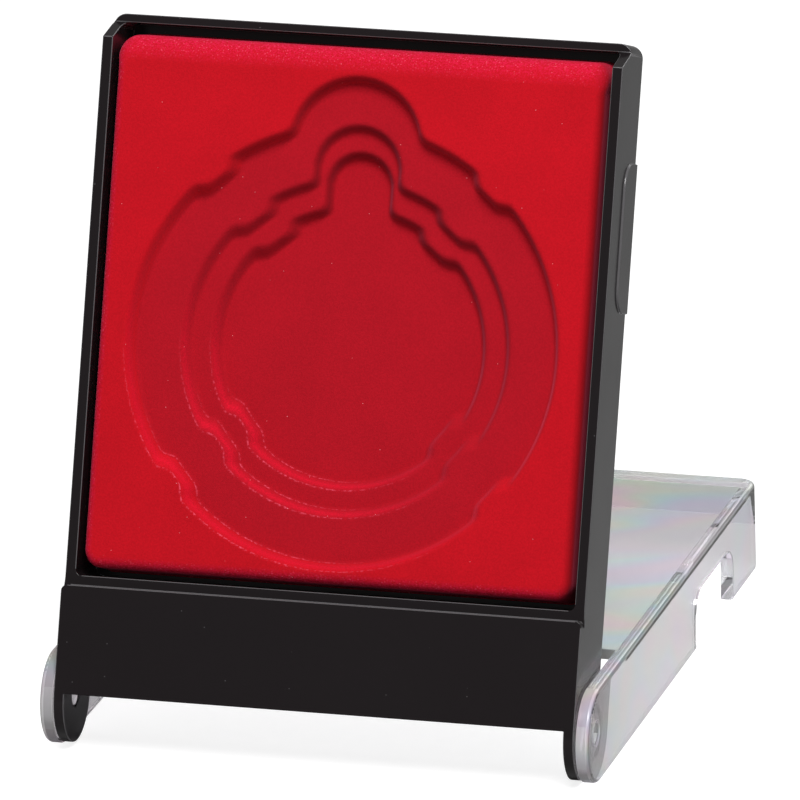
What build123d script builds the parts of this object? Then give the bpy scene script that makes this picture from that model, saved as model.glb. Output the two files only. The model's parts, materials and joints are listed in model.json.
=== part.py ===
from build123d import *
import math
import os
from typing import NamedTuple

# Medal presentation case: a moulded tray on a hinged clear lid, with a formed medal insert.
# Each piece is drawn in the frame of the closed case lying on its back: X across the case,
# Y up the case from the hinge axis, Z from the hinge axis towards the front panel.
# The last section stands the case up as an easel, with the open lid flat on the table.
# Lengths are in millimetres and angles in degrees.

# Closed case
case_back = 9.8
case_front = 8.4
running_gap = 0.3
overrun = 4.0

# Display tray
tray_width = 101.0
tray_length = 129.0
tray_wall = 2.0
tray_back_wall = 1.8
tray_end_wall = 1.6
tray_rim = 6.05
tray_end_setback = 7.0
tray_end_slope_run = 3.1
tray_corner_radius = 2.5
pocket_corner_radius = 1.2
ledge_width = 1.9

# Front bar of the tray, hollow from behind
bar_height = 20.6
bar_skin = 2.0
bar_corner_radius = 1.2

# Hinge: round ears, with the pins moulded on the lid
pin_diameter = 5.0
pin_clearance = 0.05
pin_lead_in = 0.4
pin_end_gap = 0.2
lid_ear_offset = 1.1
lean_angle = 18.8

# Stop: a key on the lid's ear runs in a curved track in the tray's ear
track_radius = 4.6
track_width = 1.8
track_depth = 0.9
key_arc = 20.0
key_gap = 0.2
stop_gap_angle = 1.0
stop_direction = 125.0

# Thumb notch in the lid and thumb grip on the tray
notch_length = 30.6
notch_end_distance = 21.0
notch_height = 11.4
notch_corner_radius = 5.0
grip_end_gap = 1.2
grip_top_gap = 2.8
grip_proud = 0.4

# Clear lid
lid_wall = 2.6
panel_thickness = 2.1
panel_swing_gap = 1.0
lid_end_gap = 0.2
lid_end_slope_run = 1.2
lid_corner_radius = 3.5
lid_edge_radius = 0.8

# Formed insert
sheet = 0.8
pad_top = 5.2
pad_side_gap = 0.6
pad_start_gap = 1.5
pad_end_gap = 2.0
pad_draft_angle = 3.0
pad_corner_radius = 3.9
pad_edge_radius = 1.6
pad_rounding_radius = 5.0
pad_rounding_length = 5.0

# Medal wells: three steps round one centre, each with a round bay for the medal's loop
well_center_height = 46.3
well_draft_run = 1.9
well_blend = 0.2
lug_reach = 2.0
lug_width = 7.8
lug_angle = 45.0
lug_center_rise = 3.9
lug_count = 4
outer_well_depth = 3.2
outer_well_radius = 40.5
outer_bay_radius = 11.55
outer_bay_offset = 37.85
middle_well_depth = 2.5
middle_well_radius = 30.4
middle_bay_radius = 7.2
middle_bay_offset = 33.2
inner_well_depth = 2.8
inner_well_radius = 25.15
inner_bay_radius = 5.2
inner_bay_offset = 30.2

# Places and sizes that follow
tray_half = tray_width / 2
tray_inner_half = tray_half - tray_wall
ear_radius = (case_back + case_front) / 2
ear_level = (case_front - case_back) / 2
pocket_floor = tray_back_wall - case_back
pocket_start = bar_height + ledge_width
pocket_end = tray_length - tray_end_wall
end_wall_rim = tray_rim - tray_end_setback
lid_inner_half = tray_half + running_gap
lid_half = lid_inner_half + lid_wall
lid_end = tray_length + lid_end_gap
panel_inside = case_front - panel_thickness
panel_edge_radius = math.hypot(pocket_start, tray_rim) + panel_swing_gap
panel_start = math.sqrt(panel_edge_radius ** 2 - panel_inside ** 2)
notch_end = tray_length - notch_end_distance
notch_start = notch_end - notch_length
pad_start = pocket_start + pad_start_gap
pad_end = pocket_end - pad_end_gap
pad_width = 2 * (tray_inner_half - pad_side_gap)
well_center = pocket_start + well_center_height
opening_angle = 270 + lean_angle


class Well(NamedTuple):
    """One step of the medal wells, with the round bay for the medal's loop."""

    depth: float
    radius: float
    bay_radius: float
    bay_offset: float


wells = [
    Well(outer_well_depth, outer_well_radius, outer_bay_radius, outer_bay_offset),
    Well(middle_well_depth, middle_well_radius, middle_bay_radius, middle_bay_offset),
    Well(inner_well_depth, inner_well_radius, inner_bay_radius, inner_bay_offset),
]


def side_face(points):
    """Return a flat face in the Y-Z plane, from (up the case, towards the front) points."""
    return Plane.YZ * make_face(Polyline(*points, close=True))


def across(face, half_width):
    """Return a Y-Z face extruded by the same distance to both sides."""
    return extrude(face, amount=half_width, both=True)


def both_sides(solid):
    """Return a solid together with its mirror image on the other side of the case."""
    return solid + mirror(solid, about=Plane.YZ)


def round_nosed_face(nose_y, corners):
    """Return the side outline of a hinge end: a half circle closed by a chain of points."""
    nose = ThreePointArc(
        (nose_y, -case_back),
        (nose_y - ear_radius, ear_level),
        (nose_y, case_front),
    )
    chain = Polyline((nose_y, case_front), *corners, (nose_y, -case_back))
    return Plane.YZ * make_face([nose, *chain.edges()])


def thumb_outline(end_gap, top_gap, below):
    """Return the half-obround that the notch has, drawn in by the gaps, in the Y-Z plane."""
    width = notch_length - 2 * end_gap
    height = notch_height - top_gap
    outline = Rectangle(width, height + below, align=(Align.MIN, Align.MIN))
    outline = fillet(outline.vertices().group_by(Axis.Y)[-1], notch_corner_radius)
    return Plane.YZ * Pos(notch_start + end_gap, -case_back - below) * outline


def ring_sector(radius, width, depth, start_angle, arc):
    """Return part of a flat ring round the hinge axis, from X = 0 down to X = -depth."""
    band = Pos(-depth / 2, radius) * Rectangle(depth, width)
    return Rot(X=start_angle) * revolve(band, Axis.X, arc)


# Display tray


def tray_body():
    """Return the tray's outside: side walls, end wall, bar and round hinge ears."""
    corners = [
        (bar_height, case_front),
        (bar_height, tray_rim),
        (pocket_end - tray_end_slope_run, tray_rim),
        (pocket_end, end_wall_rim),
        (tray_length, end_wall_rim),
        (tray_length, -case_back),
    ]
    body = across(round_nosed_face(0, corners), tray_half)
    plan_length = tray_length + ear_radius + overrun
    plan = Rectangle(tray_width, plan_length, align=(Align.CENTER, Align.MAX))
    plan = fillet(plan.vertices().group_by(Axis.Y)[-1], tray_corner_radius)
    rounded = extrude(Pos(0, tray_length, -case_back) * plan, amount=case_back + case_front)
    body = body & rounded
    bar_corners = body.edges().filter_by(Axis.Z).filter_by_position(
        Axis.Y, bar_height - bar_skin / 2, bar_height + bar_skin / 2
    )
    return fillet(bar_corners, bar_corner_radius)


def tray_pocket():
    """Return the pocket that the insert drops into."""
    outline = RectangleRounded(
        2 * tray_inner_half, pocket_end - pocket_start, pocket_corner_radius
    )
    middle = (pocket_start + pocket_end) / 2
    return extrude(Pos(0, middle, pocket_floor) * outline, amount=case_back + case_front)


def bar_hollow():
    """Return the hollow behind the bar, with its inner corner sloped to an even wall."""
    inside = case_front - bar_skin
    slope = tray_rim - ledge_width
    section = side_face([
        (bar_skin, -case_back - overrun),
        (bar_height, -case_back - overrun),
        (bar_height, slope),
        (bar_height - (inside - slope), inside),
        (bar_skin, inside),
    ])
    return across(section, tray_inner_half)


def make_tray():
    """Return the finished tray."""
    tray = tray_body() - tray_pocket() - bar_hollow()
    between_ears = Box(
        2 * tray_inner_half,
        ear_radius + overrun,
        2 * (case_back + case_front),
        align=(Align.CENTER, Align.MAX, Align.CENTER),
    )
    tray -= between_ears
    bore_radius = pin_diameter / 2 + pin_clearance
    bore = Pos(tray_half) * Rot(Y=-90) * Cylinder(
        bore_radius, tray_wall, align=(Align.CENTER, Align.CENTER, Align.MIN)
    )
    track_start = stop_direction - key_arc / 2 - stop_gap_angle
    track_arc = opening_angle + key_arc + 2 * stop_gap_angle
    track = Pos(tray_half) * ring_sector(
        track_radius, track_width, track_depth, track_start, track_arc
    )
    grip = Pos(tray_half) * extrude(
        thumb_outline(grip_end_gap, grip_top_gap, 0), amount=grip_proud
    )
    return tray - both_sides(bore) - both_sides(track) + both_sides(grip)


# Clear lid


def lid_body():
    """Return the lid's outside, with rounded far corners and front edges."""
    corners = [(lid_end, case_front), (lid_end + lid_end_slope_run, -case_back)]
    body = across(round_nosed_face(lid_ear_offset, corners), lid_half)
    far_corners = body.edges().filter_by(GeomType.LINE).filter_by_position(
        Axis.Y, lid_end, lid_end + lid_end_slope_run
    ).filter_by(Axis.X, reverse=True)
    body = fillet(far_corners, lid_corner_radius)
    rim = body.faces().sort_by(Axis.Z)[-1].edges().filter_by(Axis.X, reverse=True)
    noses = body.edges().filter_by(GeomType.CIRCLE).group_by(Axis.Y)[0]
    return fillet(rim + noses, lid_edge_radius)


def lid_inside():
    """Return the space inside the lid: open at the back and hinge end, with a sloped far lip."""
    low = -case_back - overrun
    hinge_end = -ear_radius - overrun
    lip_rim = end_wall_rim + running_gap
    lip_foot = pocket_end + running_gap
    slope = tray_end_slope_run / tray_end_setback
    lip_root = lip_foot - slope * (panel_inside - lip_rim)
    section = side_face([
        (hinge_end, low),
        (lid_end + overrun, low),
        (lid_end + overrun, lip_rim),
        (lip_foot, lip_rim),
        (lip_root, panel_inside),
        (panel_start, panel_inside),
        (panel_start, case_front + overrun),
        (hinge_end, case_front + overrun),
    ])
    return across(section, lid_inner_half)


def hinge_pin():
    """Return the right-hand pin, from the lid's inner face through the tray's ear."""
    length = running_gap + tray_wall - pin_end_gap
    pin = Cylinder(pin_diameter / 2, length, align=(Align.CENTER, Align.CENTER, Align.MIN))
    pin = chamfer(pin.edges().group_by(Axis.Z)[-1], pin_lead_in)
    return Pos(lid_inner_half) * Rot(Y=-90) * pin


def stop_key():
    """Return the right-hand key that runs in the tray's track."""
    length = running_gap + track_depth - key_gap
    width = track_width - 2 * key_gap
    start = stop_direction - key_arc / 2
    return Pos(lid_inner_half) * ring_sector(track_radius, width, length, start, key_arc)


def make_lid():
    """Return the finished lid."""
    notch = across(thumb_outline(0, 0, overrun), lid_half + overrun)
    return lid_body() - lid_inside() - notch + both_sides(hinge_pin()) + both_sides(stop_key())


# Formed insert


def pad_end_rounding(inset):
    """Return what the wide rounding takes off the pad's far end, as seen from the side."""
    start = pad_end - pad_rounding_length
    low = pad_top - pad_rounding_radius
    radius = pad_rounding_radius - inset
    curve = CenterArc((start, low), radius, 0, 90)
    above = Polyline(
        (start, low + radius),
        (start, pad_top + overrun),
        (pad_end + overrun, pad_top + overrun),
        (pad_end + overrun, low),
        (start + radius, low),
    )
    section = Plane.YZ * make_face([curve, *above.edges()])
    return across(section, tray_half)


def pad_block(inset, edge_radius):
    """Return the drafted and rounded block of the pad, drawn in all round by the inset."""
    outline = RectangleRounded(
        pad_width - 2 * inset, pad_end - pad_start - 2 * inset, pad_corner_radius - inset
    )
    block = extrude(
        Pos(0, (pad_start + pad_end) / 2, pocket_floor) * outline,
        amount=pad_top - inset - pocket_floor,
        taper=pad_draft_angle,
    )
    block -= pad_end_rounding(inset)
    upper = block.edges().filter_by_position(
        Axis.Z, pad_top - pad_rounding_radius, pad_top + overrun
    )
    rounding_start = pad_end - pad_rounding_length
    seam = upper.filter_by(Axis.X).filter_by_position(
        Axis.Y, rounding_start - sheet, rounding_start + sheet
    )
    return fillet(upper - seam, edge_radius)


def well_lugs(floor_radius, slope, rise):
    """Return the retaining lugs of one well, standing on its floor and reaching inwards."""
    outer = floor_radius + slope * rise + lug_reach + lug_center_rise
    blocks = Sketch() + [
        Pos(0, lug_center_rise) * loc * Rectangle(outer, lug_width, align=(Align.MIN, Align.CENTER))
        for loc in PolarLocations(0, lug_count, start_angle=lug_angle)
    ]
    inner_radius = floor_radius - lug_reach
    opening = Cone(
        inner_radius,
        inner_radius + slope * rise,
        rise,
        align=(Align.CENTER, Align.CENTER, Align.MIN),
    )
    return extrude(blocks, amount=rise) - opening


def well_void(well, rim_level, grow, with_lugs):
    """Return the space of one well with its loop bay, grown outwards by a sheet's thickness."""
    slope = well_draft_run / well.depth
    spread = grow * (math.hypot(1, slope) - slope)
    rise = well.depth + grow + well_blend
    floor = rim_level - well.depth - grow
    radius = well.radius + spread
    bay = well.bay_radius + spread
    base = (Align.CENTER, Align.CENTER, Align.MIN)
    round_well = Cone(radius, radius + slope * rise, rise, align=base)
    if with_lugs:
        round_well -= well_lugs(radius, slope, rise)
    bay_end = Pos(0, well.bay_offset) * Cone(bay, bay + slope * rise, rise, align=base)
    neck_section = make_face(Polyline(
        (-bay, 0),
        (bay, 0),
        (bay + slope * rise, rise),
        (-bay - slope * rise, rise),
        close=True,
    ))
    neck_start = radius / 2
    neck = extrude(
        Plane.XZ * Pos(0, 0, -neck_start) * neck_section,
        amount=neck_start - well.bay_offset,
    )
    return Pos(0, well_center, floor) * (round_well + bay_end + neck)


def all_wells(grow, with_lugs):
    """Return the three stepped wells as one space."""
    level = pad_top
    void = None
    for well in wells:
        step = well_void(well, level, grow, with_lugs)
        void = step if void is None else void + step
        level -= well.depth
    return void


def make_insert():
    """Return the formed sheet: drafted pad, stepped wells and a flange on the tray's floor."""
    width = 2 * (tray_inner_half - running_gap)
    length = pocket_end - pocket_start - 2 * running_gap
    middle = (pocket_start + pocket_end) / 2
    flange = extrude(
        Pos(0, middle, pocket_floor) * RectangleRounded(width, length, pocket_corner_radius),
        amount=sheet,
    )
    outside = pad_block(0, pad_edge_radius) + flange - all_wells(0, True)
    inside = pad_block(sheet, pad_edge_radius - sheet) - all_wells(sheet, False)
    return outside - inside


# Stand the case up: the lid lies on its open side, and the tray leans back on the hinge stop

tray = make_tray()
insert = make_insert()
lid = make_lid()

lift = Pos(0, 0, case_back)
stand = lift * Rot(X=90 - lean_angle)
placed = {
    "display_tray": stand * tray,
    "medal_insert": stand * insert,
    "clear_lid": lift * lid,
}

# The origin is the middle of the whole case's outline, on the table
boxes = [piece.bounding_box() for piece in placed.values()]
hinge_y = -(min(box.min.Y for box in boxes) + max(box.max.Y for box in boxes)) / 2

os.makedirs("parts", exist_ok=True)
for name, piece in placed.items():
    piece = Pos(0, hinge_y) * piece
    export_step(piece, f"parts/{name}.step")
    box = piece.bounding_box()
    print(name, len(piece.solids()), round(piece.volume, 1), box.min, box.max)
print("hinge axis at y", round(hinge_y, 4), "z", case_back)
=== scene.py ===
"""Dresses the medal presentation case: black tray, red flocked insert and clear hinged lid.

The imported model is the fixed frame. The case's sizes are millimetres in its own axes (x across,
u up the tray from the hinge, v out of its front), and are made metres where a mesh takes its
place. The lamps are in metres, and patterns are in cells for each metre.
"""
from __future__ import annotations

import json
import logging
import math
from dataclasses import dataclass
from enum import Enum
from typing import Callable, Sequence, Union

import bmesh
import bpy
from mathutils import Matrix, Vector
from mathutils.bvhtree import BVHTree

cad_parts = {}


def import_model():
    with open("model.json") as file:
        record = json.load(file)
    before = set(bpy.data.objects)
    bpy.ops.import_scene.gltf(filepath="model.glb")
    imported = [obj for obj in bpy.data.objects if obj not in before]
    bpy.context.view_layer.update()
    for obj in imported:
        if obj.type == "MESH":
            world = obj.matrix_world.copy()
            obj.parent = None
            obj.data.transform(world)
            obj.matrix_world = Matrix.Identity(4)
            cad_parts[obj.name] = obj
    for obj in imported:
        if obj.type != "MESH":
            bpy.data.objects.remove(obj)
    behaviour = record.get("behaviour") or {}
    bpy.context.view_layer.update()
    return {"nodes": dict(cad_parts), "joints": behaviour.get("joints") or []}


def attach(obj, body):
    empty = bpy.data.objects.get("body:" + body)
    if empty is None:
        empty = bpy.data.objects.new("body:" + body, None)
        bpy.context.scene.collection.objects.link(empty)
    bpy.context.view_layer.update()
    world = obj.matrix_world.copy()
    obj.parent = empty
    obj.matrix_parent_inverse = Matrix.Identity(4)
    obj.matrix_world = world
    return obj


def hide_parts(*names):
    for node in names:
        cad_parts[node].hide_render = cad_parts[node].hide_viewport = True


LOG = logging.getLogger("medal_case")
MM = 0.001
WELD_DISTANCE = 2e-6
TINY = 1e-6
RISING = (0.0, 1.0)
FALLING = (1.0, 0.0)
WHITE = (1.0, 1.0, 1.0)

# How far the tray swings from upright to closed, in degrees
UPRIGHT_TO_CLOSED = 270.0

# The mix node's colour sockets, which share their names with its others
MIX_COLOURS = (6, 7)
MIXED_COLOUR = 2

Colour = tuple[float, float, float]
Span = tuple[float, float]
Socket = bpy.types.NodeSocket
Source = Union[Socket, float, Colour]


class Body(Enum):
    """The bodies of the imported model."""

    LID = "lid"
    TRAY = "tray"


class Slot(Enum):
    """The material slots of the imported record."""

    BLACK = "black_plastic"
    FLOCK = "red_flock"
    CLEAR = "clear_plastic"


class Op(Enum):
    """The sums that a math node can make."""

    ADD = "ADD"
    SUBTRACT = "SUBTRACT"
    MULTIPLY = "MULTIPLY"
    MULTIPLY_ADD = "MULTIPLY_ADD"
    DIVIDE = "DIVIDE"
    MINIMUM = "MINIMUM"
    MAXIMUM = "MAXIMUM"
    ROOT = "SQRT"
    SIZE = "ABSOLUTE"
    SIGN = "SIGN"
    FRACTION = "FRACT"
    SINE = "SINE"
    COSINE = "COSINE"
    ARCTANGENT = "ARCTANGENT"


@dataclass(frozen=True)
class CaseAxes:
    """Where the case's own axes lie in the frame, in metres and radians."""

    hinge_y: float
    hinge_z: float
    lean: float

    @classmethod
    def from_joint(cls, joint: dict) -> CaseAxes:
        """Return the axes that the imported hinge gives."""
        _, hinge_y, hinge_z = joint["pos_m"]
        return cls(hinge_y, hinge_z, math.radians(joint["range_deg"][1] - UPRIGHT_TO_CLOSED))

    def tray_matrix(self) -> Matrix:
        """Work out how the tray stands in the frame.

        Returns:
            The matrix that takes tray millimetres to frame metres.
        """
        lift = Matrix.Translation((0.0, self.hinge_y, self.hinge_z))
        stand = Matrix.Rotation(math.pi / 2 - self.lean, 4, "X")
        return lift @ stand @ Matrix.Scale(MM, 4)


class Graph:
    """A node tree, with the few calls that build it."""

    def __init__(self, tree: bpy.types.NodeTree) -> None:
        """Keep the tree."""
        self.tree = tree

    def node(self, kind: str) -> bpy.types.Node:
        """Return a new node of a kind."""
        return self.tree.nodes.new(kind)

    def join(self, source: Source | str, target: Socket) -> None:
        """Link a source to a socket, or set the socket's plain value.

        Args:
            source: A socket, a number, a colour or a name.
            target: The socket that takes it.
        """
        if isinstance(source, bpy.types.NodeSocket):
            self.tree.links.new(source, target)
        elif isinstance(source, tuple):
            target.default_value = (*source, 1.0)
        else:
            target.default_value = source

    def math(self, op: Op, *values: Socket | float, clamp: bool = False) -> Socket:
        """Add one math node.

        Args:
            op: The sum.
            values: The numbers that it takes.
            clamp: Whether the result is held between 0 and 1.

        Returns:
            The result.
        """
        node = self.node("ShaderNodeMath")
        node.operation = op.value
        node.use_clamp = clamp
        for value, target in zip(values, node.inputs):
            self.join(value, target)
        return node.outputs[0]

    def scaled(self, vector: Socket, amount: Socket | float) -> Socket:
        """Multiply a vector or a colour by a number.

        Args:
            vector: The vector or colour.
            amount: The number.

        Returns:
            The product.
        """
        node = self.node("ShaderNodeVectorMath")
        node.operation = "SCALE"
        self.join(vector, node.inputs[0])
        self.join(amount, node.inputs["Scale"])
        return node.outputs[0]

    def choose(self, share: Socket, first: Socket, second: Socket) -> Socket:
        """Mix two shaders.

        Args:
            share: 0 for the first and 1 for the second.
            first: A shader.
            second: A shader.

        Returns:
            The mixed shader.
        """
        node = self.node("ShaderNodeMixShader")
        for source, target in zip((share, first, second), node.inputs):
            self.join(source, target)
        return node.outputs[0]

    def step(self, kind: str, geometry: Socket, **inputs: Source | str) -> Socket:
        """Pass a mesh through one geometry node.

        Args:
            kind: The kind of node.
            geometry: The mesh that goes in.
            inputs: The node's other inputs.

        Returns:
            The mesh that comes out.
        """
        node = self.node(kind)
        self.join(geometry, node.inputs["Geometry"])
        for name, source in inputs.items():
            self.join(source, node.inputs[name])
        return node.outputs["Geometry"]


class Field:
    """A number that differs from point to point, with Python's own sums."""

    def __init__(self, graph: Graph, value: Socket | float) -> None:
        """Keep the graph that the sums are made in, and the number."""
        self.graph = graph
        self.value = value

    def _make(self, op: Op, *others: Field | float, clamp: bool = False) -> Field:
        """Return the result of a sum that starts with this number."""
        values = [v.value if isinstance(v, Field) else v for v in (self, *others)]
        return Field(self.graph, self.graph.math(op, *values, clamp=clamp))

    def __add__(self, other: Field | float) -> Field:
        """Return the sum."""
        return self._make(Op.ADD, other)

    def __sub__(self, other: Field | float) -> Field:
        """Return the difference."""
        return self._make(Op.SUBTRACT, other)

    def __mul__(self, other: Field | float) -> Field:
        """Return the product."""
        return self._make(Op.MULTIPLY, other)

    def __truediv__(self, other: Field | float) -> Field:
        """Return the quotient."""
        return self._make(Op.DIVIDE, other)

    def __neg__(self) -> Field:
        """Return the negative."""
        return self._make(Op.MULTIPLY, -1.0)

    def least(self, other: Field | float) -> Field:
        """Return the smaller of the two."""
        return self._make(Op.MINIMUM, other)

    def most(self, other: Field | float) -> Field:
        """Return the larger of the two."""
        return self._make(Op.MAXIMUM, other)

    def held(self) -> Field:
        """Return the number held between 0 and 1."""
        return self._make(Op.MULTIPLY, 1.0, clamp=True)

    def size(self) -> Field:
        """Return the number without its sign."""
        return self._make(Op.SIZE)

    def sign(self) -> Field:
        """Return 1, 0 or -1."""
        return self._make(Op.SIGN)

    def root(self) -> Field:
        """Return the square root."""
        return self._make(Op.ROOT)

    def sine(self) -> Field:
        """Return the sine."""
        return self._make(Op.SINE)

    def cosine(self) -> Field:
        """Return the cosine."""
        return self._make(Op.COSINE)

    def arctangent(self) -> Field:
        """Return the angle that has this tangent."""
        return self._make(Op.ARCTANGENT)


SizeOf = Callable[[str], Field]


def length_of(across: Field, along: Field) -> Field:
    """Return the length of a flat vector from its two parts."""
    return (across * across + along * along).root()


def soft_least(first: Field, second: Field, blend: float) -> Field:
    """Return the smaller of two distances, with the corner between them rounded."""
    near = ((first - second).size() * -1.0 + blend).most(0.0)
    return first.least(second) - near * near * 0.25 / blend


def soft_most(first: Field, second: Field, blend: float) -> Field:
    """Return the larger of two distances, with the corner between them rounded."""
    return -soft_least(-first, -second, blend)


def draped(share: Field, lead: float) -> Field:
    """Return the rise of a formed wall, rounded at its foot and its rim.

    Args:
        share: 0 at the floor's edge and 1 at the rim.
        lead: How far the rise runs ahead of an even one.

    Returns:
        The rise, from 0 to 1.
    """
    run = share.held()
    run = run * (run * -lead + (1.0 + lead))
    return run * run * (run * -2.0 + 3.0)


@dataclass(frozen=True)
class Noise:
    """Soft noise: its cells, and how many finer layers it has."""

    scale: float
    detail: float = 2.0


@dataclass(frozen=True)
class Specks:
    """Small dots: their cells, their radius in cells, and the share of cells that stay empty."""

    scale: float
    radius: float
    rarity: float
    core: float = 0.6
    choice: float = 0.01


class Shader(Graph):
    """A material under construction, with this object's own few node recipes."""

    def __init__(self, name: str) -> None:
        """Start a material.

        Args:
            name: Its name.
        """
        self.material = bpy.data.materials.new(name)
        self.material.use_nodes = True
        super().__init__(self.material.node_tree)
        self.skin = self.tree.nodes["Principled BSDF"]
        self.surface = self.tree.nodes["Material Output"].inputs["Surface"]

    def feed(self, socket: str, source: Source) -> None:
        """Link a source to the skin's own socket, or set its plain value."""
        self.join(source, self.skin.inputs[socket])

    def object_place(self) -> Socket:
        """Return the piece's own coordinates."""
        return self.node("ShaderNodeTexCoord").outputs["Object"]

    def attribute(self, name: str) -> Socket:
        """Read a number that the mesh holds.

        Args:
            name: Its name there.

        Returns:
            The number.
        """
        reader = self.node("ShaderNodeAttribute")
        reader.attribute_name = name
        return reader.outputs["Fac"]

    def noise(self, place: Socket, cloud: Noise) -> Socket:
        """Return soft noise, about 0 to 1.

        Args:
            place: The coordinates.
            cloud: The noise's sizes.

        Returns:
            The pattern.
        """
        node = self.node("ShaderNodeTexNoise")
        self.join(place, node.inputs["Vector"])
        self.join(cloud.scale, node.inputs["Scale"])
        self.join(cloud.detail, node.inputs["Detail"])
        return node.outputs["Fac"]

    def streaked(self, place: Socket, length: float, turn: float) -> Socket:
        """Return coordinates drawn out along a slanting line.

        Args:
            place: The coordinates.
            length: How many times longer than wide a streak is.
            turn: The line's angle from x, in degrees.

        Returns:
            The new coordinates.
        """
        mapping = self.node("ShaderNodeMapping")
        mapping.vector_type = "TEXTURE"
        mapping.inputs["Rotation"].default_value = (0.0, 0.0, math.radians(turn))
        mapping.inputs["Scale"].default_value = (length, 1.0, 1.0)
        self.join(place, mapping.inputs["Vector"])
        return mapping.outputs["Vector"]

    def span(self, source: Socket, over: Span, to: Span = RISING) -> Socket:
        """Return a source's range carried to another, held at its ends.

        Args:
            source: The number.
            over: The source's values at the range's ends.
            to: The results there.

        Returns:
            The new number.
        """
        carry = self.node("ShaderNodeMapRange")
        self.join(source, carry.inputs["Value"])
        for name, value in zip(("From Min", "From Max", "To Min", "To Max"), over + to):
            self.join(value, carry.inputs[name])
        return carry.outputs["Result"]

    def between(self, mark: Socket, start: float, end: float) -> Socket:
        """Return a number that goes from start to end as a mark goes from 0 to 1."""
        return self.span(mark, RISING, (start, end))

    def tent(self, source: Socket, band: Span) -> Socket:
        """Pick out a band of a number.

        Args:
            source: The number.
            band: The band's middle, and half its width.

        Returns:
            1 at the band's middle, falling to 0 at its ends.
        """
        middle, half = band
        rise = self.span(source, (middle - half, middle))
        return self.product(rise, self.span(source, (middle, middle + half), FALLING))

    def product(self, first: Socket, second: Socket) -> Socket:
        """Return two numbers multiplied."""
        return self.math(Op.MULTIPLY, first, second)

    def fraction(self, source: Socket) -> Socket:
        """Return what a number has beyond its whole part."""
        return self.math(Op.FRACTION, source)

    def specks(self, place: Socket, dots: Specks) -> Socket:
        """Return 1 in small dots, one in a few cells, and 0 elsewhere.

        Args:
            place: The coordinates.
            dots: The dots' sizes.

        Returns:
            The pattern.
        """
        cells = self.node("ShaderNodeTexVoronoi")
        self.join(place, cells.inputs["Vector"])
        self.join(dots.scale, cells.inputs["Scale"])
        edge = (dots.radius * dots.core, dots.radius)
        dot = self.span(cells.outputs["Distance"], edge, FALLING)
        part = self.node("ShaderNodeSeparateColor")
        self.join(cells.outputs["Color"], part.inputs["Color"])
        chosen = self.span(part.outputs[0], (dots.rarity, dots.rarity + dots.choice))
        return self.product(dot, chosen)

    def colour_ramp(self, source: Socket, colours: Sequence[Colour]) -> Socket:
        """Turn a number into a colour.

        Args:
            source: The number, from 0 to 1.
            colours: The colours, evenly spaced over that range.

        Returns:
            The colour.
        """
        ramp = self.node("ShaderNodeValToRGB")
        elements = ramp.color_ramp.elements
        while len(elements) < len(colours):
            elements.new(0.5)
        for number, colour in enumerate(colours):
            elements[number].position = number / (len(colours) - 1)
            elements[number].color = (*colour, 1.0)
        self.join(source, ramp.inputs["Fac"])
        return ramp.outputs["Color"]

    def mix(self, share: Socket, first: Socket | Colour, second: Socket | Colour) -> Socket:
        """Return a mix of two colours.

        Args:
            share: 0 for the first and 1 for the second.
            first: A colour or its source.
            second: A colour or its source.

        Returns:
            The mixed colour.
        """
        blend = self.node("ShaderNodeMix")
        blend.data_type = "RGBA"
        self.join(share, blend.inputs["Factor"])
        for place, colour in zip(MIX_COLOURS, (first, second)):
            self.join(colour, blend.inputs[place])
        return blend.outputs[MIXED_COLOUR]

    def toned(self, share: Socket, tone: Socket, amount: float) -> Socket:
        """Return a colour that is made lighter or darker where the share is 1."""
        return self.mix(share, tone, self.scaled(tone, amount))

    def pass_lamps(self, shadow: Colour) -> None:
        """Let the lamps' light through a clear skin.

        Args:
            shadow: What is left of the light.
        """
        film = self.node("ShaderNodeBsdfTransparent")
        self.join(shadow, film.inputs["Color"])
        is_shadow = self.node("ShaderNodeLightPath").outputs["Is Shadow Ray"]
        self.join(self.choose(is_shadow, self.skin.outputs[0], film.outputs[0]), self.surface)

    def bump(self, height: Socket, strength: float, distance: float) -> None:
        """Roughen the skin with a fine relief.

        Args:
            height: The pattern of the relief.
            strength: How strongly it shows.
            distance: Its full height, in metres.
        """
        relief = self.node("ShaderNodeBump")
        self.join(height, relief.inputs["Height"])
        self.join(strength, relief.inputs["Strength"])
        self.join(distance, relief.inputs["Distance"])
        self.feed("Normal", relief.outputs["Normal"])


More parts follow.
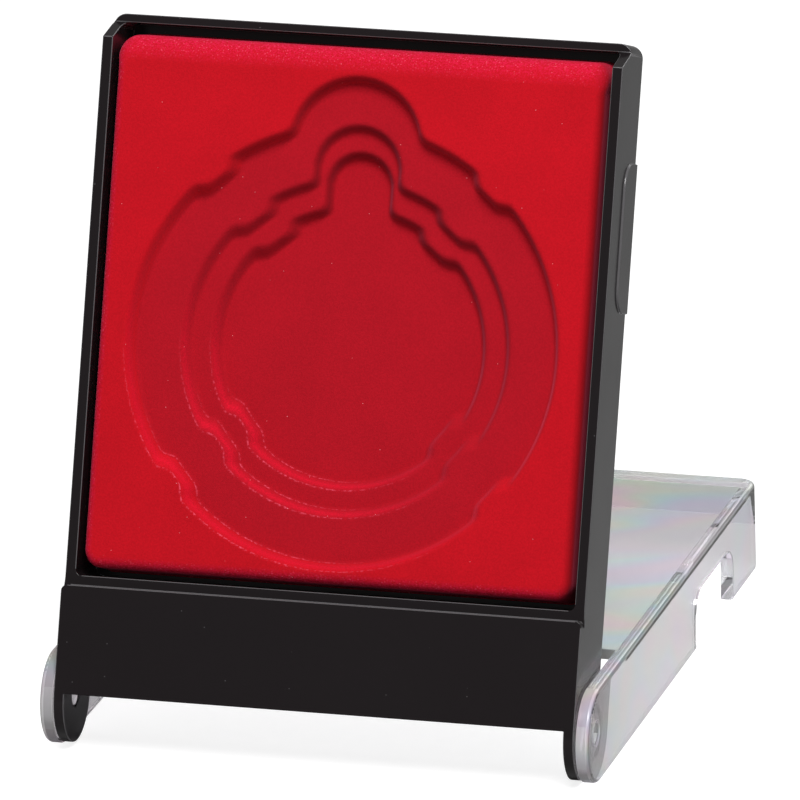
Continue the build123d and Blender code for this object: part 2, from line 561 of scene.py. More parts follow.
@dataclass(frozen=True)
class RedFlock:
    """Velvet flock: a soft red pile with a pink sheen, darker in the wells, with scattered bright
    specks, and with painted highlights, glints and shade on its edges and walls.

    A span is the pair of values that a change runs between. A band is a place up a well's wall,
    from 0 at its foot to 1 at its rim, with half its width.
    """

    name: str = "red velvet flock"
    pile: Colour = (0.56, 0.0045, 0.0125)
    sunk: Colour = (0.45, 0.0055, 0.015)
    # Painted highlight: the pinker colour of the pad's edges that lean towards the light
    painted_edge_highlight: Colour = (0.8, 0.012, 0.07)
    # Painted highlight on the wells' walls that face the lamp
    painted_wall_highlight: Colour = (0.78, 0.006, 0.03)
    # Painted glints on the lit edges, and painted bright lines on the lit walls' rims and feet
    painted_glint: Colour = (0.93, 0.11, 0.19)
    bright_speck: Colour = (0.9, 0.3, 0.34)
    sheen_tint: Colour = (1.0, 0.14, 0.26)
    sheen: float = 0.32
    sheen_roughness: float = 0.45
    roughness: float = 0.92
    specular: float = 0.12
    relief: float = 0.35
    relief_height: float = 0.00012

    sunk_span: Span = (0.8, 1.0)
    patches: Noise = Noise(90.0, 3.0)
    patch_span: Span = (0.35, 0.7)
    grain: Noise = Noise(2600.0)
    grain_span: Span = (0.35, 0.65)
    dark_grain: float = 0.93
    light_grain: float = 1.06
    bright_specks: Specks = Specks(760.0, 0.07, 0.9)

    # Painted highlights and glints on the pad's rounded edges, and painted shade on its right one
    strays: Noise = Noise(3000.0)
    stray_span: Span = (0.42, 0.62)
    stray_share: Span = (0.1, 1.0)
    glints: Specks = Specks(2100.0, 0.34, 0.54)
    glint_share: Span = (0.4, 1.0)
    shaded_side: float = 0.6
    shaded_side_tone: float = 0.2

    # Painted shade on the walls that face away from the lamp, and painted highlights and bright
    # lines on those that face it
    away_span: Span = (-0.9, -0.1)
    away_band: Span = (0.42, 0.42)
    painted_wall_shade: float = 0.55
    toward_span: Span = (0.1, 0.9)
    toward_band: Span = (0.55, 0.4)
    toward_share: Span = (0.4, 0.8)
    tips: Noise = Noise(1700.0, 4.0)
    tip_span: Span = (0.44, 0.66)
    tip_share: Span = (0.0, 0.8)
    rim_line: Span = (0.93, 0.06)
    rim_span: Span = (0.45, 1.0)
    foot_line: Span = (0.1, 0.06)
    foot_span: Span = (0.75, 1.0)

    def make(self) -> bpy.types.Material:
        """Build the finish.

        Returns:
            The material.
        """
        kit = Shader(self.name)
        place = kit.object_place()
        grain = kit.noise(place, self.grain)
        tone = self.pile_tone(kit, place, grain)
        tone = self.edge_tone(kit, place, grain, tone)
        tone = self.wall_tone(kit, place, grain, tone)
        kit.feed("Base Color", kit.mix(kit.specks(place, self.bright_specks), tone, self.bright_speck))
        kit.feed("Roughness", self.roughness)
        kit.feed("Sheen Weight", self.sheen)
        kit.feed("Sheen Roughness", self.sheen_roughness)
        kit.feed("Sheen Tint", self.sheen_tint)
        kit.feed("Specular IOR Level", self.specular)
        kit.bump(grain, self.relief, self.relief_height)
        return kit.material

    def pile_tone(self, kit: Shader, place: Socket, grain: Socket) -> Socket:
        """Return the pile's colour: darker in the wells, with soft patches and a fine grain.

        Args:
            kit: The material.
            place: The coordinates.
            grain: The fine noise of the pile.

        Returns:
            The colour.
        """
        tone = kit.mix(kit.span(kit.attribute("recess"), self.sunk_span), self.pile, self.sunk)
        patch = kit.span(kit.noise(place, self.patches), self.patch_span)
        tone = kit.toned(patch, tone, self.dark_grain)
        dark, light = kit.scaled(tone, self.dark_grain), kit.scaled(tone, self.light_grain)
        return kit.mix(kit.span(grain, self.grain_span), dark, light)

    def edge_tone(self, kit: Shader, place: Socket, grain: Socket, tone: Socket) -> Socket:
        """Return the colour with painted highlights and glints on the pad's rounded edges, and
        painted shade on its right edge.

        Args:
            kit: The material.
            place: The coordinates.
            grain: The fine noise of the pile.
            tone: The colour so far.

        Returns:
            The new colour.
        """
        lean, shade = kit.attribute("lean"), kit.attribute("shade")
        # Painted highlight: the edges that lean over, except the right one, turn pinker where noise
        # lets them, and take glints
        facing = kit.product(lean, kit.between(shade, 1.0, 0.0))
        stray = kit.span(kit.noise(place, self.strays), self.stray_span, self.stray_share)
        tone = kit.mix(kit.product(facing, stray), tone, self.painted_edge_highlight)
        glints = kit.product(facing, kit.specks(place, self.glints))
        strength = kit.span(grain, self.grain_span, self.glint_share)
        tone = kit.mix(kit.product(glints, strength), tone, self.painted_glint)
        # Painted shade: the pad's right edge is darkened
        dim = kit.product(kit.between(shade, 0.0, self.shaded_side), lean)
        return kit.toned(dim, tone, self.shaded_side_tone)

    def wall_tone(self, kit: Shader, place: Socket, grain: Socket, tone: Socket) -> Socket:
        """Return the colour with painted shade on the wells' walls that face away from the lamp,
        and painted highlights and bright lines on those that face it.

        Args:
            kit: The material.
            place: The coordinates.
            grain: The fine noise of the pile.
            tone: The colour so far.

        Returns:
            The new colour.
        """
        lit, climb = kit.attribute("lit"), kit.fraction(kit.attribute("climb"))
        # Painted shade on the walls that face away from the lamp
        unlit = kit.span(lit, self.away_span, FALLING)
        away = kit.product(unlit, kit.tent(climb, self.away_band))
        tone = kit.toned(away, tone, self.painted_wall_shade)
        # Painted highlight on the walls that face the lamp
        toward = kit.product(kit.span(lit, self.toward_span), kit.tent(climb, self.toward_band))
        strength = kit.span(grain, self.grain_span, self.toward_share)
        tone = kit.mix(kit.product(toward, strength), tone, self.painted_wall_highlight)
        # Painted highlights: broken bright lines along the rims and feet of the walls that face the
        # lamp
        tips = kit.span(kit.noise(place, self.tips), self.tip_span, self.tip_share)
        lines = ((self.rim_line, self.rim_span), (self.foot_line, self.foot_span))
        for band, lit_span in lines:
            line = kit.product(kit.span(lit, lit_span), kit.tent(climb, band))
            tone = kit.mix(kit.product(line, tips), tone, self.painted_glint)
        return tone


@dataclass(frozen=True)
class BlackStyrene:
    """Moulded black polystyrene: dark, smooth and softly glossy, with fine dust, and a lighter
    colour on its narrow edge faces as a painted highlight.
    """

    name: str = "black moulded polystyrene"
    colour: Colour = (0.0115, 0.0088, 0.0098)
    # Painted highlight: the lighter colour of the edge radii's narrow faces
    edge: Colour = (0.12, 0.115, 0.12)
    dust: Colour = (0.11, 0.105, 0.11)
    motes: Specks = Specks(640.0, 0.075, 0.88)
    specular: float = 0.28
    clouds: Noise = Noise(45.0, 4.0)
    cloud_span: Span = (0.3, 0.7)
    roughness: Span = (0.14, 0.24)
    ripples: Noise = Noise(1500.0)
    ripple: float = 0.06
    ripple_height: float = 0.00004

    def make(self) -> bpy.types.Material:
        """Build the finish.

        Returns:
            The material.
        """
        kit = Shader(self.name)
        place = kit.object_place()
        tone = kit.mix(kit.specks(place, self.motes), self.colour, self.dust)
        # Painted highlight: the edge radii's narrow faces take the lighter edge colour
        kit.feed("Base Color", kit.mix(kit.attribute("edge"), tone, self.edge))
        cloud = kit.noise(place, self.clouds)
        kit.feed("Roughness", kit.span(cloud, self.cloud_span, self.roughness))
        kit.feed("Specular IOR Level", self.specular)
        kit.bump(kit.noise(place, self.ripples), self.ripple, self.ripple_height)
        return kit.material


@dataclass(frozen=True)
class ClearStyrene:
    """Clear moulded polystyrene, with the soft rainbow bands of its moulding stress, and a paler
    tint on its walls as painted light.
    """

    name: str = "clear moulded polystyrene"
    tint: Colour = (0.785, 0.755, 0.795)
    # Painted light: the paler tint that the walls take, so that they look brighter than the panel
    painted_wall_light: Colour = (0.915, 0.89, 0.925)
    shadow: Colour = (0.86, 0.85, 0.87)
    hues: tuple[Colour, ...] = (
        (0.84, 0.70, 0.83),
        (0.72, 0.73, 0.89),
        (0.66, 0.84, 0.84),
        (0.80, 0.84, 0.70),
        (0.91, 0.73, 0.76),
        (0.84, 0.70, 0.83),
    )
    streak_length: float = 2.9
    streak_turn: float = 24.0
    flow: Noise = Noise(34.0)
    flow_turns: float = 6.0
    patches: Noise = Noise(30.0)
    patch_span: Span = (0.4, 0.62)
    wall_hue: float = 0.4
    wall_lift: float = 1.12
    ior: float = 1.59
    polished: float = 0.015
    frosted: float = 0.22
    frosted_clearness: float = 0.62
    edge_clearness: float = 0.6

    def make(self) -> bpy.types.Material:
        """Build the finish.

        Returns:
            The material.
        """
        kit = Shader(self.name)
        streaks = kit.streaked(kit.object_place(), self.streak_length, self.streak_turn)
        turns = kit.math(Op.MULTIPLY, kit.noise(streaks, self.flow), self.flow_turns)
        hue = kit.colour_ramp(kit.fraction(turns), self.hues)
        patches = kit.span(kit.noise(streaks, self.patches), self.patch_span)
        panel = kit.mix(patches, self.tint, hue)
        # Painted light: the walls take a paler, lifted tint than the panel
        faint = kit.between(patches, 0.0, self.wall_hue)
        wall = kit.mix(faint, self.painted_wall_light, kit.scaled(hue, self.wall_lift))
        kit.feed("Base Color", kit.mix(kit.attribute("wall"), panel, wall))
        frost, edge = kit.attribute("frost"), kit.attribute("edge")
        kit.feed("Roughness", kit.between(frost, self.polished, self.frosted))
        kit.feed("Transmission Weight", kit.product(
            kit.between(frost, 1.0, self.frosted_clearness),
            kit.between(edge, 1.0, self.edge_clearness),
        ))
        kit.feed("IOR", self.ior)
        kit.pass_lamps(self.shadow)
        return kit.material


def show(name: str, data: bpy.types.ID) -> bpy.types.Object:
    """Put a new object in the scene, at the origin.

    Args:
        name: Its name.
        data: Its mesh, light or lens.

    Returns:
        The object.
    """
    item = bpy.data.objects.new(name, data)
    bpy.context.scene.collection.objects.link(item)
    return item


def evaluated(item: bpy.types.Object) -> bpy.types.Mesh:
    """Return an object's mesh as its modifiers leave it."""
    graph = bpy.context.evaluated_depsgraph_get()
    return bpy.data.meshes.new_from_object(item.evaluated_get(graph))


def settle(piece: bpy.types.Object, body: Body, node: str) -> None:
    """Hand a finished piece to the frame, and log it.

    Args:
        piece: The piece, at the origin.
        body: The body that it moves with.
        node: The node that it stands for.
    """
    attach(piece, body.value)
    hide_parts(node)
    piece.data.calc_loop_triangles()
    LOG.info("%s: %d triangles", piece.name, len(piece.data.loop_triangles))


@dataclass(frozen=True)
class MouldedPiece:
    """A rigid moulding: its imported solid, with the small edge radii that the mould gives it.

    Angles are degrees. A turn is the least or most that a face's direction has along an axis.
    """

    name: str
    node: str
    body: Body
    slot: Slot
    edge_radius: float = 0.14
    edge_steps: int = 2
    flatness: int = 100
    flat_angle: float = 0.4
    sharp_angle: float = 28.0
    stray_reach: float = 1.4
    round_end_y: float = -56.0
    panel_end_y: float = -30.0
    rim_turn: float = 0.6
    square_turn: float = 0.9
    shortest_edge: float = 0.3

    def build(self, source: bpy.types.Object, finish: bpy.types.Material) -> bpy.types.Object:
        """Make the moulding.

        Args:
            source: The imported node.
            finish: Its material.

        Returns:
            The finished piece.
        """
        draft = bpy.data.meshes.new("moulding")
        work = bmesh.new()
        work.from_mesh(source.data)
        bmesh.ops.remove_doubles(work, verts=work.verts, dist=WELD_DISTANCE)
        bmesh.ops.dissolve_limit(
            work, angle_limit=math.radians(self.flat_angle), verts=work.verts, edges=work.edges
        )
        self.round_edges(work)
        work.to_mesh(draft)
        work.free()
        draft.materials.clear()
        draft.materials.append(finish)
        draft.shade_smooth()
        piece = show(self.name, draft)
        evener = piece.modifiers.new("flat faces stay flat", "WEIGHTED_NORMAL")
        evener.mode = "FACE_AREA"
        evener.weight = self.flatness
        mesh = evaluated(piece)
        piece.modifiers.clear()
        piece.data = mesh
        bpy.data.meshes.remove(draft)
        mesh.name = self.name
        self.mark_faces(mesh)
        settle(piece, self.body, self.node)
        return piece

    def round_edges(self, work: bmesh.types.BMesh) -> None:
        """Give the sharp edges their small radius, and take back the few corners that run off.

        Args:
            work: The moulding.
        """
        skin = BVHTree.FromBMesh(work)
        limit = math.radians(self.sharp_angle)
        inner = [edge for edge in work.edges if len(edge.link_faces) == 2]
        sharp = [edge for edge in inner if edge.calc_face_angle(0.0) > limit]
        bmesh.ops.bevel(
            work, geom=sharp, offset=self.edge_radius * MM, offset_type="OFFSET",
            segments=self.edge_steps, profile=0.5, affect="EDGES", clamp_overlap=False,
        )
        slack = self.stray_reach * self.edge_radius * MM
        strays = {vert for vert in work.verts if skin.find_nearest(vert.co)[3] > slack}
        for stray in strays:
            others = (edge.other_vert(stray) for edge in stray.link_edges)
            firm = [other.co for other in others if other not in strays]
            if firm:
                stray.co = min(firm, key=lambda place: (place - stray.co).length).copy()
        bmesh.ops.remove_doubles(work, verts=work.verts, dist=WELD_DISTANCE)

    def mark_faces(self, mesh: bpy.types.Mesh) -> None:
        """Mark the frosted ends near the hinge, the edge radii's narrow faces, which the black
        finish lightens as a painted highlight, and the walls, which the clear finish tints paler as
        painted light.

        Args:
            mesh: The finished moulding.
        """
        frost, edge, wall = (
            mesh.attributes.new(name, "FLOAT", "FACE").data for name in ("frost", "edge", "wall")
        )
        for number, face in enumerate(mesh.polygons):
            turn, place = face.normal, face.center
            on_rim = abs(turn.x) < self.rim_turn and place.y < self.round_end_y * MM
            on_end = turn.y < -self.square_turn and place.y < self.panel_end_y * MM
            frost[number].value = float(on_rim or on_end)
            corners = [mesh.vertices[i].co for i in face.vertices]
            longest = max((a - b).length for a, b in zip(corners, corners[1:] + corners[:1]))
            narrow = face.area < longest * self.edge_radius * MM
            edge[number].value = float(narrow and longest > self.shortest_edge * MM)
            wall[number].value = float(max(abs(turn.x), abs(turn.y)) > self.square_turn)


@dataclass(frozen=True)
class Well:
    """One step of the medal wells, with the round bay for the medal's loop."""

    label: str
    depth: float
    radius: float
    bay_radius: float
    bay_offset: float


@dataclass(frozen=True)
class Form:
    """Where the formed sheet's points go, and the marks that they carry."""

    place: tuple[Field, Field, Field]
    marks: dict[str, Field]


@dataclass(frozen=True)
class MedalInsert:
    """The formed and flocked insert: a rounded pad with stepped medal wells and a flange.

    It is bent from a flat grid. Past the pad's flat top the grid's next cells make the rounded
    edge, then the drafted wall, then the flange.
    """

    name: str = "flocked_medal_insert"
    node: str = "medal_insert"
    cell: float = 0.4
    sheet: float = 0.8
    sharp_angle: float = 60.0
    pad_top: float = 5.2
    flange_level: float = -7.2
    flat_half: float = 45.6
    flat_start: float = 26.4
    flat_end: float = 120.2
    corner_radius: float = 1.3
    side_rounding: float = 1.7
    start_rounding: float = 2.2
    end_rounding: float = 4.9
    draft: float = 0.052
    rounding_cells: int = 11
    wall_cells: int = 5
    flange_cells: int = 2
    flange_reach: float = 0.25
    seat_shift: float = -0.25
    well_center: float = 68.8
    wall_run: float = 1.9
    wall_lead: float = 0.3
    neck_blend: float = 1.6
    lug_blend: float = 2.2
    lug_side_run: float = 2.2
    lug_reach: float = 1.95
    lug_width: float = 9.4
    lug_center_rise: float = 3.9
    # The lamp's direction across and up the pad, which the flock's painted light follows
    lit_across: float = 0.5
    lit_along: float = 0.87
    wells: tuple[Well, ...] = (
        Well("Outer", 3.2, 40.5, 11.55, 37.85),
        Well("Middle", 2.5, 30.4, 7.2, 33.2),
        Well("Inner", 2.8, 25.15, 5.2, 30.2),
    )

    def sizes(self) -> dict[str, float]:
        """Gather the sizes that the node tree takes.

        Returns:
            The sizes, under the tree's names for them.
        """
        own = (
            "pad_top", "flange_level", "corner_radius", "side_rounding", "start_rounding",
            "end_rounding", "draft", "seat_shift", "well_center", "wall_run",
            "lug_reach", "lug_width", "lug_side_run", "lug_center_rise",
        )
        named = {name: getattr(self, name) for name in own}
        for well in self.wells:
            for name in ("depth", "radius", "bay_radius", "bay_offset"):
                named[f"{well.label}_{name}"] = getattr(well, name)
        return {name.replace("_", " ").title(): size for name, size in named.items()}

    def flat_half_length(self) -> float:
        """Return half the length of the pad's flat top."""
        return (self.flat_end - self.flat_start) / 2

    def grid_halves(self) -> tuple[float, float]:
        """Return half the grid's width and length."""
        rim = (self.rounding_cells + self.wall_cells + self.flange_cells) * self.cell
        return self.flat_half + rim, self.flat_half_length() + rim

    def well_distance(self, size: SizeOf, label: str, x: Field, y: Field) -> Field:
        """Return how far a point lies outside one well's floor.

        Args:
            size: Gives a named size of the tree.
            label: The well.
            x: The point's place across the case, from the wells' centre.
            y: Its place up the case, from the wells' centre.

        Returns:
            The distance, negative inside.
        """
        radius = size(f"{label} Radius")
        bay = size(f"{label} Bay Radius")
        offset = size(f"{label} Bay Offset")
        reach = length_of(x, y)
        neck = (x.size() - bay).most(-y).most(y - offset)
        loop = (length_of(x, y - offset) - bay).least(neck)
        outline = soft_least(reach - radius, loop, self.neck_blend)
        aside = (x.size() - (y - size("Lug Center Rise")).size()).size() / math.sqrt(2.0)
        steep = size("Wall Run") / size("Lug Side Run")
        front = radius - size("Lug Reach") - reach
        lug = soft_most(front, (aside - size("Lug Width") * 0.5) * steep, self.lug_blend)
        return soft_most(outline, -lug, self.lug_blend)

    def edge_profile(
        self, size: SizeOf, past: Field, x_way: Field, y_way: Field
    ) -> tuple[Field, Field, Field]:
        """Return the pad's rounded edge, drafted wall and flange, past the flat top.

        Args:
            size: Gives a named size of the tree.
            past: The way past the flat top, in the grid's own measure.
            x_way: The outward direction's part across the case.
            y_way: Its part up the case.

        Returns:
            How far out the point goes, how far down, and how much the face leans there.
        """
        upper = (y_way.sign() + 1.0) * 0.5
        end = size("Start Rounding") + (size("End Rounding") - size("Start Rounding")) * upper
        radius = size("Side Rounding") * x_way * x_way + end * y_way * y_way
        turn = size("Draft").arctangent() * -1.0 + math.pi / 2
        rounding = self.rounding_cells * self.cell
        wall_length = self.wall_cells * self.cell
        angle = turn * (past / rounding).held()
        out = radius * angle.sine()
        down = radius - radius * angle.cosine()
        wall = ((past - rounding) / wall_length).held()
        rest = size("Pad Top") - size("Flange Level") - (radius - radius * turn.cosine())
        down = down + rest * wall
        out = out + rest * size("Draft") * wall
        on_flange = (past - rounding - wall_length).most(0.0)
        return out + on_flange * self.flange_reach, down, angle.sine()

    def form(self, graph: Graph, size: SizeOf) -> Form:
        """Return the sheet's form over the flat grid.

        Args:
            graph: The tree that the form is worked out in.
            size: Gives a named size of the tree.

        Returns:
            The points' places and marks.
        """
        split = graph.node("ShaderNodeSeparateXYZ")
        graph.join(graph.node("GeometryNodeInputPosition").outputs[0], split.inputs[0])
        grid_x, grid_y = Field(graph, split.outputs[0]), Field(graph, split.outputs[1])
        corner = size("Corner Radius")
        core_x = -corner + self.flat_half
        core_y = -corner + self.flat_half_length()
        over_x = (grid_x.size() - core_x).most(0.0)
        over_y = (grid_y.size() - core_y).most(0.0)
        ring = over_x.most(over_y)
        spoke = length_of(over_x, over_y).most(TINY)
        x_way, y_way = over_x / spoke * grid_x.sign(), over_y / spoke * grid_y.sign()
        out, down, lean = self.edge_profile(size, (ring - corner).most(0.0), x_way, y_way)
        far = ring.least(corner) + out
        x = grid_x.size().least(core_x) * grid_x.sign() + x_way * far
        y = grid_y.size().least(core_y) * grid_y.sign() + y_way * far

        middle = (self.flat_start + self.flat_end) / 2
        level = size("Pad Top") - down
        recess = Field(graph, 0.0)
        climb = Field(graph, 0.0)
        well_y = y + middle - size("Well Center")
        for well in self.wells:
            share = self.well_distance(size, well.label, x, well_y) / size("Wall Run")
            sunk = -draped(share, self.wall_lead) + 1.0
            level = level - size(f"{well.label} Depth") * sunk
            recess = recess.most(sunk)
            climb = climb + share.held()
        # Marks for the flock's painted light: lit is how far a point, seen from the wells' centre,
        # lies towards the lamp; lean is how far the pad's edge has turned; shade is the pad's right
        # side, which takes painted shade
        toward_lamp = x * -self.lit_across - well_y * self.lit_along
        marks = {
            "recess": recess,
            "climb": climb,
            "lit": toward_lamp / length_of(x, well_y).most(1.0),
            "lean": lean,
            "shade": x_way.held(),
        }
        return Form((x + size("Seat Shift"), y + middle, level), marks)

    def declare(self, face: bpy.types.NodeTreeInterface) -> None:
        """Args:
            face: The tree's interface.
        """
        kinds = dict.fromkeys(("Points Across", "Points Along"), "Int")
        kinds["Finish"] = "Material"
        kinds.update(dict.fromkeys(("Sink", *self.sizes()), "Float"))
        for name, kind in kinds.items():
            face.new_socket(name, in_out="INPUT", socket_type=f"NodeSocket{kind}")
        face.new_socket("Geometry", in_out="OUTPUT", socket_type="NodeSocketGeometry")

    def tree(self) -> bpy.types.NodeTree:
        """Build the node tree that makes one side of the formed sheet.

        Returns:
            The tree, with named inputs for its sizes.
        """
        tree = bpy.data.node_groups.new("formed medal insert", "GeometryNodeTree")
        self.declare(tree.interface)
        graph = Graph(tree)
        entry = graph.node("NodeGroupInput").outputs

        def size(name: str) -> Field:
            """Return a named size of the tree."""
            return Field(graph, entry[name])

        half_x, half_y = self.grid_halves()
        grid = graph.node("GeometryNodeMeshGrid")
        graph.join(2.0 * half_x, grid.inputs["Size X"])
        graph.join(2.0 * half_y, grid.inputs["Size Y"])
        graph.join(entry["Points Across"], grid.inputs["Vertices X"])
        graph.join(entry["Points Along"], grid.inputs["Vertices Y"])

        form = self.form(graph, size)
        joined = graph.node("ShaderNodeCombineXYZ")
        for part, target in zip(form.place, joined.inputs):
            graph.join(part.value, target)
        mesh = grid.outputs["Mesh"]
        for name, mark in form.marks.items():
            mesh = graph.step("GeometryNodeStoreNamedAttribute", mesh, Name=name, Value=mark.value)
        mesh = graph.step("GeometryNodeSetPosition", mesh, Position=joined.outputs[0])
        normal = graph.node("GeometryNodeInputNormal").outputs[0]
        inward = graph.scaled(normal, (-size("Sink")).value)
        mesh = graph.step("GeometryNodeSetPosition", mesh, Offset=inward)
        mesh = graph.step("GeometryNodeRealizeInstances", mesh)
        mesh = graph.step("GeometryNodeSetMaterial", mesh, Material=entry["Finish"])
        graph.join(mesh, graph.node("NodeGroupOutput").inputs["Geometry"])
        return tree

    def side(
        self, tree: bpy.types.NodeTree, cells: tuple[int, int], sink: float,
        finish: bpy.types.Material,
    ) -> bpy.types.Mesh:
        """Evaluate the tree to one side of the sheet.

        Args:
            tree: The node tree.
            cells: The grid's cells across and along.
            sink: How far the side lies under the sheet's face.
            finish: The material.

        Returns:
            The side as a plain mesh.
        """
        holder = show("insert side", bpy.data.meshes.new("insert side"))
        former = holder.modifiers.new("form", "NODES")
        former.node_group = tree
        values: dict[str, object] = {
            "Points Across": cells[0] + 1,
            "Points Along": cells[1] + 1,
            "Sink": sink,
            "Finish": finish,
            **self.sizes(),
        }
        for socket in tree.interface.items_tree:
            if socket.in_out == "INPUT":
                former[socket.identifier] = values[socket.name]
        mesh = evaluated(holder)
        bpy.data.objects.remove(holder)
        return mesh

    def build(self, axes: CaseAxes, finish: bpy.types.Material) -> bpy.types.Object:
        """Make the insert as a closed sheet.

        Args:
            axes: Where the tray stands.
            finish: The flock.

        Returns:
            The finished piece.
        """
        half_x, half_y = self.grid_halves()
        coarse = (round(half_x / self.cell), round(half_y / self.cell))
        fine = (2 * coarse[0], 2 * coarse[1])
        tree = self.tree()

        work = bmesh.new()
        work.from_mesh(self.side(tree, fine, 0.0, finish))
        first_back = len(work.verts)
        work.from_mesh(self.side(tree, coarse, self.sheet, finish))
        work.verts.ensure_lookup_table()
        back_faces = [face for face in work.faces if face.verts[0].index >= first_back]
        bmesh.ops.reverse_faces(work, faces=back_faces)
        self.close_edge(work, fine, coarse, first_back)
        bmesh.ops.recalc_face_normals(work, faces=work.faces)
        mesh = bpy.data.meshes.new(self.name)
        work.to_mesh(mesh)
        work.free()
        mesh.transform(axes.tray_matrix())
        mesh.materials.clear()
        mesh.materials.append(finish)
        mesh.shade_smooth()
        mesh.set_sharp_from_angle(angle=math.radians(self.sharp_angle))
        piece = show(self.name, mesh)
        settle(piece, Body.TRAY, self.node)
        return piece

    @staticmethod
    def border(cells: tuple[int, int], first: int) -> list[int]:
        """Return the vertex numbers round a grid's border, in order.

        Args:
            cells: The grid's cells across and along.
            first: The number of its first vertex.

        Returns:
            The numbers, once round.
        """
        across, along = cells
        ring = [(i, 0) for i in range(across)]
        ring += [(across, j) for j in range(along)]
        ring += [(i, along) for i in range(across, 0, -1)]
        ring += [(0, j) for j in range(along, 0, -1)]
        return [first + i * (along + 1) + j for i, j in ring]

    def close_edge(
        self, work: bmesh.types.BMesh, fine: tuple[int, int], coarse: tuple[int, int],
        first_back: int,
    ) -> None:
        """Join the fine face to the coarse back along the sheet's edge.

        Args:
            work: The mesh that holds both sides.
            fine: The face's cells.
            coarse: The back's cells.
            first_back: The number of the back's first vertex.
        """
        outer, inner = self.border(fine, 0), self.border(coarse, first_back)
        count = len(inner)
        for i in range(count):
            a, b, c = (work.verts[outer[(2 * i + k) % (2 * count)]] for k in range(3))
            d, e = work.verts[inner[i]], work.verts[inner[(i + 1) % count]]
            for corners in ((a, b, d), (b, c, e), (b, e, d)):
                work.faces.new(corners)


@dataclass(frozen=True)
class Lamp:
    """One soft square lamp: its watts, and its width and place in metres."""

    name: str
    power: float
    width: float
    place: tuple[float, float, float]

    def hang(self, aim: Vector) -> None:
        """Hang the lamp.

        Args:
            aim: The point that it faces.
        """
        light = bpy.data.lights.new(self.name, "AREA")
        light.energy = self.power
        light.size = self.width
        holder = show(self.name, light)
        holder.location = self.place
        holder.rotation_mode = "QUATERNION"
        holder.rotation_quaternion = (aim - Vector(self.place)).to_track_quat("-Z", "Y")


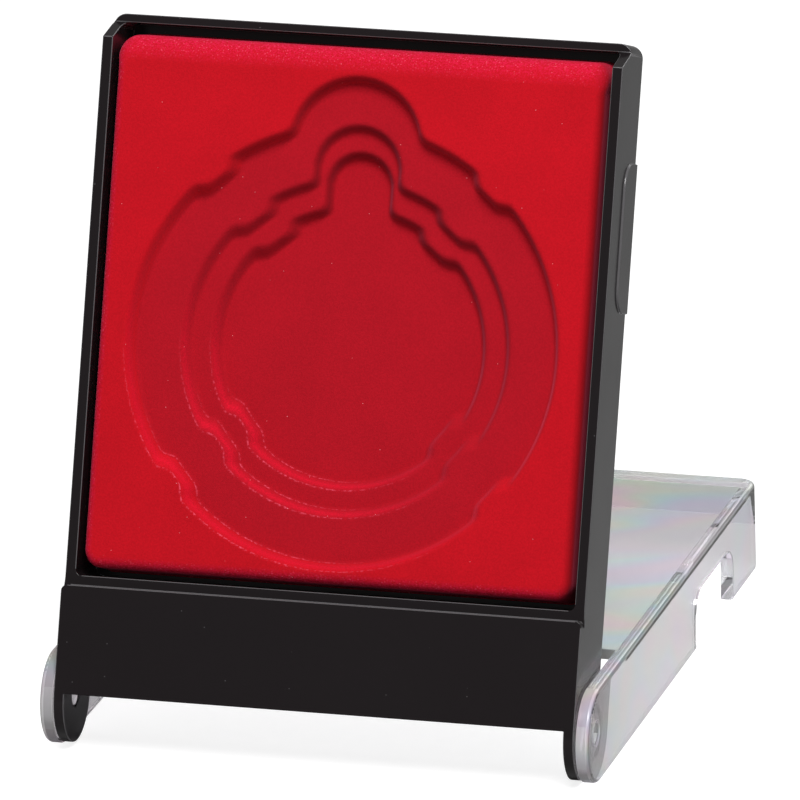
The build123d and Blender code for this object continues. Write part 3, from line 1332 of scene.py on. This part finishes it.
@dataclass(frozen=True)
class Studio:
    """A plain white table under soft lamps, and the camera where the photographer stood.

    The camera's angles are degrees, and its distance and aim millimetres. Strengths of 1 are white.
    """

    azimuth: float = 15.13
    elevation: float = 17.94
    roll: float = -0.84
    distance: float = 2386.9
    aim: tuple[float, float, float] = (-0.68, 0.0, 52.25)
    focal_pixels: float = 12467.0
    frame_pixels: float = 800.0
    sensor_width: float = 36.0
    clip: Span = (0.1, 20.0)
    lamps: tuple[Lamp, ...] = (
        Lamp("top lamp", 18.2, 0.6, (0.27, -0.75, 1.2)),
        Lamp("back lamp", 4.0, 0.8, (0.4, 1.3, 0.9)),
    )
    lamp_aim: tuple[float, float, float] = (0.0, -0.03, 0.06)
    room_light: float = 0.22
    room_seen: float = 1.0
    table_half: float = 6.0
    table_colour: Colour = (0.42, 0.42, 0.42)
    table_roughness: float = 0.9
    table_seen: float = 0.82
    table_seen_through: float = 0.3

    def camera(self) -> None:
        """Place the camera."""
        lens = bpy.data.cameras.new("camera")
        lens.sensor_width = self.sensor_width
        lens.lens = self.focal_pixels * self.sensor_width / self.frame_pixels
        lens.clip_start, lens.clip_end = self.clip
        turn, lift, tilt = (math.radians(a) for a in (self.azimuth, self.elevation, self.roll))
        back = Vector((
            math.sin(turn) * math.cos(lift), -math.cos(turn) * math.cos(lift), math.sin(lift)
        ))
        right = Vector((math.cos(turn), math.sin(turn), 0.0))
        up = back.cross(right)
        side = right * math.cos(tilt) + up * math.sin(tilt)
        head = up * math.cos(tilt) - right * math.sin(tilt)
        place = Matrix((side, head, back)).transposed().to_4x4()
        place.translation = (Vector(self.aim) + back * self.distance) * MM
        eye = show("camera", lens)
        eye.matrix_world = place
        bpy.context.scene.camera = eye

    def room(self) -> None:
        """Light the room softly, and show it white behind the object."""
        world = bpy.data.worlds.new("studio")
        bpy.context.scene.world = world
        world.use_nodes = True
        graph = Graph(world.node_tree)
        light, seen = graph.tree.nodes["Background"], graph.node("ShaderNodeBackground")
        for sky, strength in ((light, self.room_light), (seen, self.room_seen)):
            graph.join(WHITE, sky.inputs["Color"])
            graph.join(strength, sky.inputs["Strength"])
        ray = graph.node("ShaderNodeLightPath").outputs
        looking = graph.math(Op.MAXIMUM, ray["Is Camera Ray"], ray["Is Transmission Ray"])
        sky = graph.choose(looking, light.outputs[0], seen.outputs[0])
        graph.join(sky, graph.tree.nodes["World Output"].inputs["Surface"])

    def table(self) -> None:
        """Lay the white table."""
        mesh = bpy.data.meshes.new("table")
        work = bmesh.new()
        bmesh.ops.create_grid(work, x_segments=1, y_segments=1, size=self.table_half)
        work.to_mesh(mesh)
        work.free()
        mesh.materials.append(self.table_finish())
        top = show("table", mesh)

    def table_finish(self) -> bpy.types.Material:
        """Build the table's matt white, lifted to full white where it is looked at.

        Returns:
            The material.
        """
        kit = Shader("white table")
        kit.feed("Base Color", self.table_colour)
        kit.feed("Roughness", self.table_roughness)
        kit.feed("Specular IOR Level", 0.0)
        ray = kit.node("ShaderNodeLightPath").outputs
        through = kit.math(Op.MULTIPLY, ray["Is Transmission Ray"], self.table_seen_through)
        strength = kit.math(Op.MULTIPLY_ADD, ray["Is Camera Ray"], self.table_seen, through)
        lift = kit.node("ShaderNodeEmission")
        kit.join(strength, lift.inputs["Strength"])
        total = kit.node("ShaderNodeAddShader")
        for shader, target in zip((kit.skin, lift), total.inputs):
            kit.join(shader.outputs[0], target)
        kit.join(total.outputs[0], kit.surface)
        return kit.material

    def build(self) -> None:
        """Set up the whole studio."""
        self.camera()
        for lamp in self.lamps:
            lamp.hang(Vector(self.lamp_aim))
        self.room()
        self.table()
        bpy.context.scene.view_settings.view_transform = "Standard"


def main() -> None:
    """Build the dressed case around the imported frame."""
    logging.basicConfig(level=logging.INFO, format="%(name)s %(message)s")
    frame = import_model()
    nodes = frame["nodes"]

    MouldedPiece("moulded_display_tray", "display_tray", Body.TRAY, Slot.BLACK).build(
        nodes["display_tray"], BlackStyrene().make()
    )
    MouldedPiece("moulded_clear_lid", "clear_lid", Body.LID, Slot.CLEAR).build(
        nodes["clear_lid"], ClearStyrene().make()
    )
    MedalInsert().build(CaseAxes.from_joint(frame["joints"][0]), RedFlock().make())
    Studio().build()


if __name__ == "__main__":
    main()
